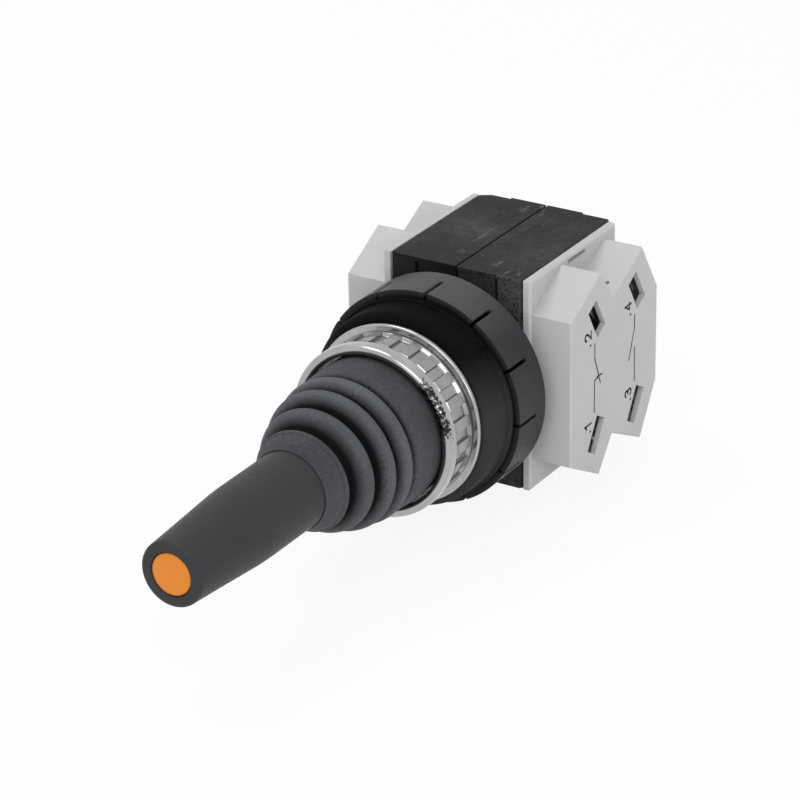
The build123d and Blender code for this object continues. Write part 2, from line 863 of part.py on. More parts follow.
def terminal_screws(side):
    """Four terminal screws, each square to the slope it is reached through."""
    shank_front = wire_space / 2 + terminal_thickness
    with BuildPart() as screws:
        for place, normal, reach in front_places + rear_places:
            plane = terminal_plane(side, place, normal)
            with BuildSketch(plane.offset(shank_front)):
                Circle(terminal_head_radius)
            extrude(amount=terminal_head)
            with BuildSketch(plane.offset(shank_front)):
                Circle(terminal_screw_radius)
            extrude(amount=-(2 * shank_front + terminal_tip))
            with BuildSketch(plane.offset(shank_front + terminal_head)):
                Rectangle(2 * terminal_head_radius, screw_slot_width)
            extrude(amount=-screw_slot_depth, mode=Mode.SUBTRACT)
    return screws.part


def terminal_clamps(side):
    """Four clamp plates under the screw heads."""
    with BuildPart() as clamps:
        for place, normal, reach in front_places + rear_places:
            with BuildSketch(terminal_plane(side, place, normal).offset(wire_space / 2)):
                Rectangle(terminal_width, terminal_length)
                Circle(terminal_screw_radius + thread_gap, mode=Mode.SUBTRACT)
            extrude(amount=terminal_thickness)
    return clamps.part


def fixed_contacts(side):
    """Four fixed contacts: a terminal plate, a leg and a strip that the bridge end rubs on."""
    strip_inner = bridge_half_length + contact_gap
    shank_tip = wire_space / 2 + terminal_thickness + terminal_tip + loose_gap
    columns = (
        (front_plunger_y, nc_strip, front_places),
        (rear_plunger_y, no_strip, rear_places),
    )
    with BuildPart() as contacts:
        for column, (near, far), places in columns:
            leg_far = min(far, terminal_x + terminal_width / 2)
            leg_near = leg_far - 2 * strip_thickness
            for place, normal, reach in places:
                up = 1 if place[1] > 0 else -1
                plane = terminal_plane(side, place, normal)
                with BuildSketch(plane.offset(-wire_space / 2)):
                    Rectangle(terminal_width, terminal_length)
                extrude(amount=-terminal_thickness)
                with BuildSketch(Plane.YZ.offset(side * near)):
                    with Locations((column, up * (strip_inner + strip_thickness / 2))):
                        Rectangle(strip_width, strip_thickness)
                extrude(amount=side * (far - near))
                with BuildSketch(Plane.YZ.offset(side * leg_near)):
                    with Locations((column, up * (strip_inner + strip_rise / 2))):
                        Rectangle(strip_width, strip_rise)
                extrude(amount=side * (leg_far - leg_near))
                with BuildSketch(plane.offset(-wire_space / 2)):
                    Circle(terminal_screw_radius + thread_gap)
                extrude(amount=-(shank_tip - wire_space / 2), mode=Mode.SUBTRACT)
    return contacts.part


def plunger(side, station, tip):
    """Round-nosed plunger with a stop flange and a pin that carries the bridge."""
    shoulder = bridge_x - plunger_stop
    nose = plunger_radius * (1 - math.cos(math.radians(45)))
    rise = plunger_radius * math.sin(math.radians(45))
    with BuildPart() as rod:
        with BuildSketch(Plane.XY):
            with BuildLine():
                ThreePointArc(
                    (side * tip, station),
                    (side * (tip + nose), station + rise),
                    (side * (tip + plunger_radius), station + plunger_radius),
                )
                Polyline(
                    (side * (tip + plunger_radius), station + plunger_radius),
                    (side * shoulder, station + plunger_radius),
                    (side * shoulder, station + plunger_stop_radius),
                    (side * bridge_x, station + plunger_stop_radius),
                    (side * bridge_x, station + plunger_pin_radius),
                    (side * (bridge_x + bridge_thickness + plunger_pin), station + plunger_pin_radius),
                    (side * (bridge_x + bridge_thickness + plunger_pin), station),
                    (side * tip, station),
                )
            make_face()
        revolve(axis=Axis((0, station, 0), (1, 0, 0)))
    return rod.part


def bridge(side, station):
    """Contact bridge seated on the plunger's flange."""
    with BuildPart() as bar:
        with BuildSketch(Plane.YZ.offset(side * bridge_x)):
            with Locations((station, 0)):
                Rectangle(bridge_width, 2 * bridge_half_length)
                Circle(plunger_pin_radius + seat_gap, mode=Mode.SUBTRACT)
        extrude(amount=side * bridge_thickness)
    return bar.part


for side_name, side in sides.items():
    save(base_plate(side), f"{side_name}_base_plate")
    save(cover(side), f"{side_name}_cover")
    save(block_screws(side), f"{side_name}_block_screws")
    save(terminal_screws(side), f"{side_name}_terminal_screws")
    save(terminal_clamps(side), f"{side_name}_terminal_clamps")
    save(fixed_contacts(side), f"{side_name}_fixed_contacts")
    columns = (("front", front_plunger_y, front_tip), ("rear", rear_plunger_y, rear_tip))
    for column_name, station, tip in columns:
        save(plunger(side, station, tip), f"{side_name}_{column_name}_plunger")
        save(bridge(side, station), f"{side_name}_{column_name}_bridge")
        spring_start = bridge_x + bridge_thickness
        contact_spring = coil(
            (side * spring_start, station, 0),
            (side, 0, 0),
            contact_spring_radius,
            contact_spring_wire,
            contact_spring_turns,
            cover_inside - spring_start,
        )
        save(contact_spring, f"{side_name}_{column_name}_spring")
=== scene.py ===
import bpy
import bmesh
import json
import math
import numpy as np
from mathutils import Matrix, Vector


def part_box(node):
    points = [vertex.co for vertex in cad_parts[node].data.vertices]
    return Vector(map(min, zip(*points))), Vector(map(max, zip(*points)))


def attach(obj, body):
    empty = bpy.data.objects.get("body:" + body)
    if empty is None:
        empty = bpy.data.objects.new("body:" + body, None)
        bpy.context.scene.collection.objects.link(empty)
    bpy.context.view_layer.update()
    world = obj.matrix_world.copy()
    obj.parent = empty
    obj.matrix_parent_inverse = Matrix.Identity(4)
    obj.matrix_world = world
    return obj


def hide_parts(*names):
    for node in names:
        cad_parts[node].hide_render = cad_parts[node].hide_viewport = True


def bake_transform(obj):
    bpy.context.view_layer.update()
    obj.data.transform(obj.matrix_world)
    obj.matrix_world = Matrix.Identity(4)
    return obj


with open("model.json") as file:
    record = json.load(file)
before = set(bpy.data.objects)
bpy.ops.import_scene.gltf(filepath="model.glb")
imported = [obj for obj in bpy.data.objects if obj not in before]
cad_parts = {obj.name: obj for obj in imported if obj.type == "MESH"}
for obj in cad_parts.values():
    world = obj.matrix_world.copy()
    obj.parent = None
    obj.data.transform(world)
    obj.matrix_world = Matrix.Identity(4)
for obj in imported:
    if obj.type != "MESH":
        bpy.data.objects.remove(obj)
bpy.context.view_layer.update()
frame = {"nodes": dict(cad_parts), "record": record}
MM = 0.001
scene = bpy.context.scene
scene.view_settings.view_transform = "Standard"


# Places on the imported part, in millimetres: Y runs rearward along the lever axis, Z up
def corners(node):
    """Lowest and highest corner of a CAD node."""
    low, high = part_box(node)
    return low / MM, high / MM


body_low, body_high = corners("body_right_half")
nut_low, nut_high = corners("rear_ring_nut")
ring_low, ring_high = corners("front_ring_nut")
grip_low, grip_high = corners("lever_grip")
button_low, button_high = corners("tip_button")
switch_low, switch_high = corners("tip_switch")
cover_face = corners("right_cover")[1].x
body_groove = 9.6


# Camera, fitted to the photograph
def camera_axes(azimuth, elevation, roll):
    """Right, up and back of a camera that looks at the part from these angles, in degrees."""
    a, e, r = (math.radians(v) for v in (azimuth, elevation, roll))
    back = Vector((math.sin(a) * math.cos(e), -math.cos(a) * math.cos(e), math.sin(e)))
    right = Vector((math.cos(a), math.sin(a), 0))
    up = back.cross(right)
    return (
        math.cos(r) * right + math.sin(r) * up,
        -math.sin(r) * right + math.cos(r) * up,
        back,
    )


def add_camera():
    distance = 754.7355
    aim = Vector((0, 15, 0))
    shift_right, shift_up = -12.04739, -6.15767
    focal_pixels, picture_pixels, sensor_mm = 3571.363, 800, 36
    right, up, back = camera_axes(31.8923, 25.1016, -1.03448)
    eye = (aim + shift_right * right + shift_up * up + distance * back) * MM
    camera = bpy.data.objects.new("camera", bpy.data.cameras.new("camera"))
    camera.data.sensor_width = sensor_mm
    camera.data.lens = focal_pixels / picture_pixels * sensor_mm
    camera.matrix_world = Matrix(
        (
            (right.x, up.x, back.x, eye.x),
            (right.y, up.y, back.y, eye.y),
            (right.z, up.z, back.z, eye.z),
            (0, 0, 0, 1),
        )
    )
    scene.collection.objects.link(camera)
    scene.camera = camera


add_camera()


# Colours and material graphs
def linear(r, g, b):
    """Colour of a screen value from 0 to 255, as the linear light that the shaders take."""
    out = []
    for value in (r, g, b):
        value /= 255
        out.append(value / 12.92 if value <= 0.04045 else ((value + 0.055) / 1.055) ** 2.4)
    return (*out, 1)


def scaled(colour, factor):
    return (*(min(1.0, c * factor) for c in colour[:3]), 1)


class Graph:
    """Short way to add and join shader nodes."""

    def __init__(self, material):
        material.use_nodes = True
        self.tree = material.node_tree
        self.tree.nodes.clear()
        self.shader = self.add("ShaderNodeBsdfPrincipled")
        self.out = self.add("ShaderNodeOutputMaterial")
        self.join(self.shader.outputs[0], self.out.inputs[0])
        self.place = self.add("ShaderNodeTexCoord").outputs["Object"]

    def add(self, kind, **settings):
        node = self.tree.nodes.new(kind)
        for key, value in settings.items():
            setattr(node, key, value)
        return node

    def join(self, source, target):
        """Link a socket to the target, or set a number or colour on it."""
        if isinstance(source, (int, float, tuple)):
            target.default_value = source
        else:
            self.tree.links.new(source, target)

    def noise(self, scale, detail=2.0, rough=0.5, stretch=None):
        node = self.add("ShaderNodeTexNoise")
        node.inputs["Scale"].default_value = scale
        node.inputs["Detail"].default_value = detail
        node.inputs["Roughness"].default_value = rough
        place = self.place
        if stretch:
            mapping = self.add("ShaderNodeMapping")
            mapping.inputs["Scale"].default_value = stretch
            self.join(self.place, mapping.inputs["Vector"])
            place = mapping.outputs[0]
        self.join(place, node.inputs["Vector"])
        return node.outputs[0]

    def maths(self, operation, a, b=None):
        node = self.add("ShaderNodeMath", operation=operation)
        self.join(a, node.inputs[0])
        if b is not None:
            self.join(b, node.inputs[1])
        return node.outputs[0]

    def product(self, *factors):
        total = factors[0]
        for factor in factors[1:]:
            total = self.maths("MULTIPLY", total, factor)
        return total

    def span(self, value, low, high, to_low=0.0, to_high=1.0):
        node = self.add("ShaderNodeMapRange")
        self.join(value, node.inputs[0])
        for index, number in enumerate((low, high, to_low, to_high), 1):
            node.inputs[index].default_value = number
        return node.outputs[0]

    def mix(self, factor, a, b):
        node = self.add("ShaderNodeMix", data_type="RGBA")
        self.join(factor, node.inputs["Factor"])
        self.join(a, node.inputs[6])
        self.join(b, node.inputs[7])
        return node.outputs[2]

    def along(self, way):
        """Place in metres along x, y or z, across as |x|, or radius as the distance from the lever axis."""
        split = self.add("ShaderNodeSeparateXYZ")
        self.join(self.place, split.inputs[0])
        x, y, z = split.outputs
        if way == "across":
            return self.maths("ABSOLUTE", x)
        if way == "radius":
            return self.maths("SQRT", self.maths("ADD", self.product(x, x), self.product(z, z)))
        return {"x": x, "y": y, "z": z}[way]

    def edges(self, radius):
        """Rounded normal, and a mask that is 1 along outer edges."""
        bevel = self.add("ShaderNodeBevel", samples=4)
        bevel.inputs["Radius"].default_value = radius
        geometry = self.add("ShaderNodeNewGeometry")
        dot = self.add("ShaderNodeVectorMath", operation="DOT_PRODUCT")
        self.join(bevel.outputs[0], dot.inputs[0])
        self.join(geometry.outputs["Normal"], dot.inputs[1])
        return bevel.outputs[0], self.span(dot.outputs["Value"], 0.995, 0.85)

    def bump(self, height, distance, normal=None):
        node = self.add("ShaderNodeBump")
        node.inputs["Strength"].default_value = 1.0
        node.inputs["Distance"].default_value = distance
        self.join(height, node.inputs["Height"])
        if normal is not None:
            self.join(normal, node.inputs["Normal"])
        return node.outputs[0]


def zone(tint, strength, patches=0, **places):
    """Stretch of a surface that turns to the tint, all over or in fine patches of that noise scale; some
    zones are a finish, some are painted light or shade.

    Each place is a way of Graph.along with two values in millimetres: no tint at the first, all of it at the
    second."""
    return tint, strength, patches, places


def moulded(name, colour, rough, grain=3200, grain_height=0.02, vary=0.12, edge_wear_and_highlight=None, edge_wear_and_highlight_amount=0.0,
            round_edge=0.25, scuffs=0.0, coat=0.0, specular=0.5, zones=()):
    """Moulded plastic or rubber: fine grain, soft colour variation, rounded edges that turn paler, partly
    rubbed and partly a painted highlight, light scuffs.
    """
    broad_scale, fine_scale, edge_wear_and_highlight_scale = 70, 900, 420
    fine_darkening = 1.6
    rough_swing = 0.06
    material = bpy.data.materials.new(name)
    g = Graph(material)
    broad = g.span(g.noise(broad_scale, 3, 0.55), 0.3, 0.7)
    fine = g.noise(fine_scale, 3, 0.6)
    base = g.mix(broad, scaled(colour, 1 - vary), scaled(colour, 1 + vary))
    base = g.mix(g.span(fine, 0.35, 0.75, 0.0, 0.35), base, scaled(colour, 1 - fine_darkening * vary))
    normal, mask = g.edges(round_edge * MM)
    # Paler patches along the edges: partly rubbed edges, partly a painted highlight
    if edge_wear_and_highlight:
        patchy = g.span(g.noise(edge_wear_and_highlight_scale, 3, 0.6), 0.35, 0.65)
        base = g.mix(g.product(mask, patchy, edge_wear_and_highlight_amount), base, edge_wear_and_highlight)
    if scuffs:
        base = scuffed(g, base, scuffs)
    for tint, strength, patches, places in zones:
        amount = strength
        for way, (start, end) in places.items():
            amount = g.product(g.span(g.along(way), start * MM, end * MM), amount)
        if patches:
            amount = g.product(amount, g.span(g.noise(patches, 4, 0.7), 0.38, 0.62))
        base = g.mix(amount, base, tint)
    g.join(base, g.shader.inputs["Base Color"])
    g.join(g.span(fine, 0.3, 0.7, rough - rough_swing, rough + rough_swing), g.shader.inputs["Roughness"])
    g.shader.inputs["Specular IOR Level"].default_value = specular
    if coat:
        g.shader.inputs["Coat Weight"].default_value = coat
        g.shader.inputs["Coat Roughness"].default_value = 0.25
    height = g.noise(grain, 2, 0.6)
    g.join(g.bump(height, grain_height * MM, normal), g.shader.inputs["Normal"])
    return material


def scuffed(g, base, amount):
    """Smudges of handling, then short pale strokes of dust in a few places."""
    smudge_scale, smudge_grain, smudge_amount, smudge_tint = 48, 330, 0.27, (0.16, 0.165, 0.17, 1)
    dust_scale, dust_stretch, dust_tint = 62, (620, 240, 900), (0.32, 0.32, 0.32, 1)
    smudge = g.product(g.span(g.noise(smudge_scale, 4, 0.6), 0.48, 0.72),
                       g.span(g.noise(smudge_grain, 3, 0.6), 0.3, 0.7, 0.3, 1.0))
    base = g.mix(g.product(smudge, smudge_amount), base, smudge_tint)
    patches = g.span(g.noise(dust_scale, 2, 0.5), 0.56, 0.66)
    strokes = g.span(g.noise(1.0, 4, 0.62, stretch=dust_stretch), 0.56, 0.7)
    return g.mix(g.product(patches, strokes, amount), base, dust_tint)


def rubber(name, valley, crest, rough):
    """Moulded rubber: dark in the folds as painted shade, pale chalk and fine handling marks on the crests.
    """
    cloud_scale, speck_scale, shade_scale, grain = 240, 1700, 60, 3200
    chalk_tint, chalk_amount = linear(126, 128, 131), 0.75
    material = bpy.data.materials.new(name)
    g = Graph(material)
    chalk_and_shade = g.add("ShaderNodeAttribute", attribute_name="bloom_and_fold_shade").outputs["Fac"]
    cloud = g.span(g.noise(cloud_scale, 4, 0.62), 0.3, 0.72)
    speck = g.span(g.noise(speck_scale, 3, 0.65), 0.42, 0.72)
    # Painted shade down in the fold valleys, pale chalk up on the crests
    base = g.mix(chalk_and_shade, valley, crest)
    base = g.mix(g.product(cloud, speck, g.product(chalk_and_shade, chalk_amount)), base, chalk_tint)
    base = g.mix(g.span(g.noise(shade_scale, 3, 0.5), 0.35, 0.7, 0.0, 0.35), base, valley)
    g.join(base, g.shader.inputs["Base Color"])
    g.join(g.span(speck, 0.0, 1.0, rough - 0.05, rough + 0.08), g.shader.inputs["Roughness"])
    g.shader.inputs["Specular IOR Level"].default_value = 0.06
    g.join(g.bump(g.noise(grain, 2, 0.6), 0.012 * MM), g.shader.inputs["Normal"])
    return material


def metal(name, colour, rough, spread=0.08, waves=0.006, brush=None, round_edge=0.15, flecks=False):
    """Metal: uneven polish, faint waves, patches of rougher grime."""
    cloud_scale, grime_scale, wave_scale = 160, 480, 260
    material = bpy.data.materials.new(name)
    g = Graph(material)
    cloud = g.noise(cloud_scale, 4, 0.6)
    base = g.mix(g.span(cloud, 0.35, 0.7), scaled(colour, 1.05), scaled(colour, 0.86))
    normal, mask = g.edges(round_edge * MM)
    base = g.mix(g.product(mask, 0.25), base, scaled(colour, 1.2))
    if flecks:
        base = flecked(g, base)
    g.join(base, g.shader.inputs["Base Color"])
    g.shader.inputs["Metallic"].default_value = 1.0
    grime = g.noise(grime_scale, 3, 0.6)
    g.join(g.span(grime, 0.3, 0.75, rough - spread / 2, rough + spread), g.shader.inputs["Roughness"])
    height = g.noise(1.0, 3, 0.55, stretch=brush) if brush else g.noise(wave_scale, 3, 0.5)
    g.join(g.bump(height, waves * MM, normal), g.shader.inputs["Normal"])
    return material


def flecked(g, base):
    """Dark specks on one side of the ring nut's lip."""
    middle_angle, half_angle, fade = 0.5, 0.25, 0.17
    start, full = ring_low.y + 2.0, ring_low.y + 1.0
    fleck_scale, fleck_tint = 1400, (0.03, 0.029, 0.026, 1)
    angle = g.maths("ARCTAN2", g.along("z"), g.along("x"))
    turn = g.maths("ABSOLUTE", g.maths("SUBTRACT", angle, middle_angle))
    on_side = g.span(turn, half_angle + fade, half_angle)
    on_lip = g.span(g.along("y"), start * MM, full * MM)
    place = g.product(on_side, on_lip)
    depth = g.maths("ADD", g.noise(fleck_scale, 4, 0.75), g.product(place, 0.2))
    specks = g.product(g.span(depth, 0.6, 0.67), g.span(place, 0.02, 0.2))
    return g.mix(specks, base, fleck_tint)


black = moulded(
    "black_plastic", linear(30, 30, 32), 0.55, grain=2600, grain_height=0.022, edge_wear_and_highlight=linear(96, 96, 96),
    edge_wear_and_highlight_amount=0.3, scuffs=0.34, specular=0.12,
    zones=(
        # Painted shade: dark line along the top front edge
        zone(linear(10, 10, 10), 0.8, z=(body_high.z - 0.5, body_high.z - 0.3),
             y=(body_low.y + 0.7, body_low.y + 0.5)),
        # Coarse moulded faces in front, right of the split, and again outside the groove
        zone(linear(84, 85, 87), 0.5, 2100, x=(0.2, 0.4), y=(body_low.y + 0.6, body_low.y + 0.4), z=(0, 12)),
        zone(linear(92, 93, 95), 0.7, 2100, x=(body_groove - 0.05, body_groove + 0.05),
             y=(body_low.y + 0.4, body_low.y + 0.2), z=(-12, -5)),
        # Painted shadow in the gap where the base plates lie on the sides
        zone(linear(8, 8, 8), 0.85, across=(body_high.x - 0.26, body_high.x - 0.1)),
    ),
)
# Charcoal rear ring nut: its pale edges are mostly a painted highlight on the rims
nut_black = moulded(
    "charcoal_plastic", linear(50, 52, 55), 0.5, grain=3000, grain_height=0.014, edge_wear_and_highlight=linear(118, 119, 121),
    edge_wear_and_highlight_amount=0.8, specular=0.15,
    zones=(
        # Painted light and shade: paler on top as a painted sheen, darker on the front face as painted shade,
        # black as painted shade in the slots and on all faces nearer the axis than the rim
        zone(linear(93, 94, 95), 0.5, z=(16, 22.5)),
        zone(linear(34, 35, 35), 0.9, y=(nut_low.y + 0.3, nut_low.y + 0.05)),
        zone(linear(8, 8, 8), 0.9, radius=(nut_high.x - 0.5, nut_high.x - 1.2)),
    ),
)
# Gasket: its pale edge line is mostly a painted highlight on the rim
rubber_black = moulded(
    "black_rubber", linear(14, 15, 14), 0.65, grain=2200, grain_height=0.012, vary=0.2,
    edge_wear_and_highlight=linear(88, 88, 86), edge_wear_and_highlight_amount=0.5, round_edge=0.2, specular=0.03,
    zones=(
        # Paler below, as painted light
        zone(linear(64, 65, 64), 0.8, z=(15, 3)),
    ),
)
# Boot: painted shade in the fold valleys, pale chalk on the crests
rubber_boot = rubber("boot_rubber", linear(13, 14, 16), linear(97, 100, 104), 0.62)
grip_black = moulded(
    "grip_plastic", linear(57, 58, 60), 0.5, grain=4200, grain_height=0.008, vary=0.05, round_edge=0.2,
    specular=0.13,
)
orange = moulded(
    "orange_plastic", linear(226, 132, 26), 0.38, grain=3000, grain_height=0.004, vary=0.03, coat=0.1,
    specular=0.35,
)
# Grey contact blocks: their pale edges are mostly a painted highlight on the rounded edges
grey_block = moulded(
    "grey_plastic", linear(198, 198, 198), 0.55, grain=2600, grain_height=0.01, vary=0.025,
    edge_wear_and_highlight=linear(238, 238, 238), edge_wear_and_highlight_amount=0.8, round_edge=0.35, specular=0.2,
)
inner_cream = moulded(
    "inner_plastic", linear(150, 148, 142), 0.5, grain=2600, grain_height=0.012, vary=0.08,
)
bush_black = moulded(
    "black_die_cast", linear(40, 40, 42), 0.5, grain=2400, grain_height=0.02, edge_wear_and_highlight=linear(150, 150, 150),
    edge_wear_and_highlight_amount=0.6, specular=0.35,
)
ink = moulded(
    "printed_ink", linear(50, 50, 52), 0.6, grain=5000, grain_height=0.002, vary=0.12, round_edge=0.02,
    specular=0.3,
)
chrome = metal("bright_chrome", (0.43, 0.43, 0.427), 0.18, spread=0.06, waves=0.01, flecks=True)
satin_chrome = metal("satin_chrome", (0.34, 0.34, 0.337), 0.2, spread=0.06, waves=0.008, round_edge=0.08)
# Dark metal for strips of painted shade beside the ring nut's pads
painted_recess_shade = metal("painted_recess_shade", (0.16, 0.16, 0.155), 0.45, waves=0.004)
steel = metal("zinc_steel", (0.42, 0.42, 0.41), 0.32, waves=0.006, brush=(900, 120, 900))
brass = metal("contact_brass", (0.5, 0.36, 0.17), 0.32, waves=0.006)

SLOT_LOOKS = {
    "body_plastic": black,
    "bush_metal": bush_black,
    "gasket_rubber": rubber_black,
    "boot_rubber": rubber_boot,
    "bright_chrome": chrome,
    "grip_plastic": grip_black,
    "button_orange": orange,
    "inner_plastic": inner_cream,
    "steel": steel,
    "block_grey": grey_block,
    "contact_brass": brass,
}
for entry in frame["record"]["subparts"]:
    node = entry["node"]
    node_look = nut_black if node == "rear_ring_nut" else SLOT_LOOKS[entry["material_slot"]]
    for slot in frame["nodes"][node].material_slots:
        slot.material = node_look


# Meshes made from rows of points
def curve_through(points, steps=6):
    """Catmull-Rom curve through the points."""
    rows = [points[0], *points, points[-1]]
    out = []
    for i in range(1, len(rows) - 2):
        p0, p1, p2, p3 = (np.array(rows[i + k], float) for k in (-1, 0, 1, 2))
        for step in range(steps):
            t = step / steps
            bend = (2 * p0 - 5 * p1 + 4 * p2 - p3) * t ** 2 + (3 * p1 - p0 - 3 * p2 + p3) * t ** 3
            out.append(tuple(0.5 * (2 * p1 + (p2 - p0) * t + bend)))
    out.append(tuple(points[-1]))
    return out


def arc(radius_at, y_at, size, first, last, count):
    """Points (radius, y) on an arc of a profile, between two angles in degrees."""
    angles = [math.radians(first + (last - first) * i / count) for i in range(count + 1)]
    return [(radius_at + size * math.cos(a), y_at + size * math.sin(a)) for a in angles]


def finish_mesh(name, verts, faces, material, sharp):
    """Object of these points in metres, with smooth faces and edges sharp past that angle in degrees."""
    mesh = bpy.data.meshes.new(name)
    mesh.from_pydata(verts, [], faces)
    work = bmesh.new()
    work.from_mesh(mesh)
    bmesh.ops.remove_doubles(work, verts=work.verts, dist=1e-7)
    bmesh.ops.recalc_face_normals(work, faces=work.faces)
    work.to_mesh(mesh)
    work.free()
    mesh.polygons.foreach_set("use_smooth", [True] * len(mesh.polygons))
    mesh.set_sharp_from_angle(angle=math.radians(sharp))
    mesh.materials.append(material)
    piece = bpy.data.objects.new(name, mesh)
    scene.collection.objects.link(piece)
    return piece


def turned(name, rows, material, turns=160, sharp=35):
    """Closed profile of (radius, place along Y) rows in millimetres, turned round the lever axis."""
    verts, faces, rings = [], [], []
    for radius, y in rows:
        if radius < 1e-6:
            verts.append((0, y * MM, 0))
            rings.append([len(verts) - 1] * turns)
            continue
        start = len(verts)
        for k in range(turns):
            angle = 2 * math.pi * k / turns
            verts.append((radius * math.cos(angle) * MM, y * MM, radius * math.sin(angle) * MM))
        rings.append(list(range(start, start + turns)))
    for i, ring in enumerate(rings):
        after = rings[(i + 1) % len(rings)]
        for k in range(turns):
            n = (k + 1) % turns
            corner_loop = list(dict.fromkeys((ring[k], ring[n], after[n], after[k])))
            if len(corner_loop) > 2:
                faces.append(corner_loop)
    return finish_mesh(name, verts, faces, material, sharp)


# Boot in two shells that meet at a fold's shoulder, as (radius, y) rows from the lever end rearward
boot_seam = (15.68, -31.1)
boot_seam_inside = (12.72, -31.1)
upper_outer = curve_through(
    [
        # Collar on the grip
        (8.6, -50.05), (8.8, -49.9), (9.0, -49.3), (9.45, -48.3), (9.95, -47.3), (10.3, -46.5),
        (10.45, -46.05),
        # First fold
        (10.42, -45.9), (10.62, -45.78), (10.88, -45.5), (10.9, -45.05), (10.6, -44.65), (10.0, -44.4),
        (9.55, -44.1), (9.4, -43.65), (9.7, -43.2), (10.4, -42.75), (11.35, -42.2), (12.2, -41.65),
        (12.75, -41.2), (12.95, -41.0),
        # Second fold
        (13.2, -40.6), (13.38, -39.95), (13.25, -39.35), (12.7, -39.05), (12.0, -38.9), (11.5, -38.65),
        (11.35, -38.2), (11.6, -37.75), (12.3, -37.35), (13.3, -36.85), (14.1, -36.4), (14.65, -36.0),
        (14.85, -35.85),
        # Third fold
        (15.1, -35.4), (15.27, -34.75), (15.1, -34.15), (14.55, -33.9), (13.8, -33.8), (13.35, -33.6),
        (13.2, -33.3), (13.3, -32.95), (13.8, -32.6), (14.5, -32.15), (15.1, -31.7), (15.5, -31.3), boot_seam,
    ]
)
upper_inner = [
    boot_seam_inside, (12.4, -32.4), (12.3, -33.3), (12.25, -35.0), (10.5, -37.4), (10.4, -39.0),
    (8.7, -42.9), (8.65, -44.6), (8.6, -46.2), (8.55, -48.6), (8.5, -50.0),
]
lower_outer = curve_through(
    [
        # Fourth fold
        boot_seam, (15.9, -30.6), (16.05, -29.9), (15.95, -29.2), (15.5, -28.85), (14.8, -28.7),
        (14.25, -28.5), (14.15, -28.15), (14.4, -27.85), (15.1, -27.6),
        # Straight band down into the ring nut
        (15.6, -27.3), (15.8, -26.8), (16.0, -25.7), (16.15, -24.0), (16.25, -22.0), (16.28, -20.0),
        (16.2, -18.0), (16.15, -16.0),
    ]
) + [(16.15, -13.3)]
lower_inner = [
    (13.65, -13.3), (13.65, -16.9), (15.1, -18.0), (15.0, -25.5), (13.3, -27.6), (13.2, -29.2),
    boot_seam_inside,
]
# Each row: place along Y, radius of a line over the crests there, and how pale that crest is, as chalk and
# painted light
crest_line = [
    (-50.0, 8.9, 0.64), (-45.3, 10.9, 0.66), (-39.9, 13.38, 0.9), (-34.7, 15.27, 0.93), (-29.5, 16.05, 1.0),
    (-27.4, 16.2, 0.84), (-24.0, 16.55, 0.84), (-17.0, 16.85, 0.84),
]


def bloom_and_fold_shade(piece, outer):
    """Attribute that is high on the chalky crests and 0 down in the valleys, read by the rubber's material,
    which paints shade in the valleys.
    """
    full_depth, falloff, on_outline = 1.5, 1.1, 0.02
    crest_y, crest_radius, crest_chalk_and_light = np.array(crest_line).T
    radii, places = np.array(outer).T
    depth = np.interp(places, crest_y, crest_radius) - radii
    chalk_and_shade = np.clip(1.0 - depth / full_depth, 0, 1) ** falloff * np.interp(places, crest_y, crest_chalk_and_light)
    values = []
    for vertex in piece.data.vertices:
        x, y, z = vertex.co / MM
        gap = np.hypot(radii - math.hypot(x, z), places - y)
        nearest = gap.argmin()
        values.append(float(chalk_and_shade[nearest]) if gap[nearest] < on_outline else 0.0)
    layer = piece.data.attributes.new("bloom_and_fold_shade", "FLOAT", "POINT")
    layer.data.foreach_set("value", values)


def boot_shell(name, outer, inner):
    shell = turned(name, outer + inner, rubber_boot, turns=180, sharp=70)
    bloom_and_fold_shade(shell, outer)
    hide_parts("boot")
    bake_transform(shell)


boot_shell("boot_upper", upper_outer, upper_inner)
boot_shell("boot_lower", lower_outer, lower_inner)


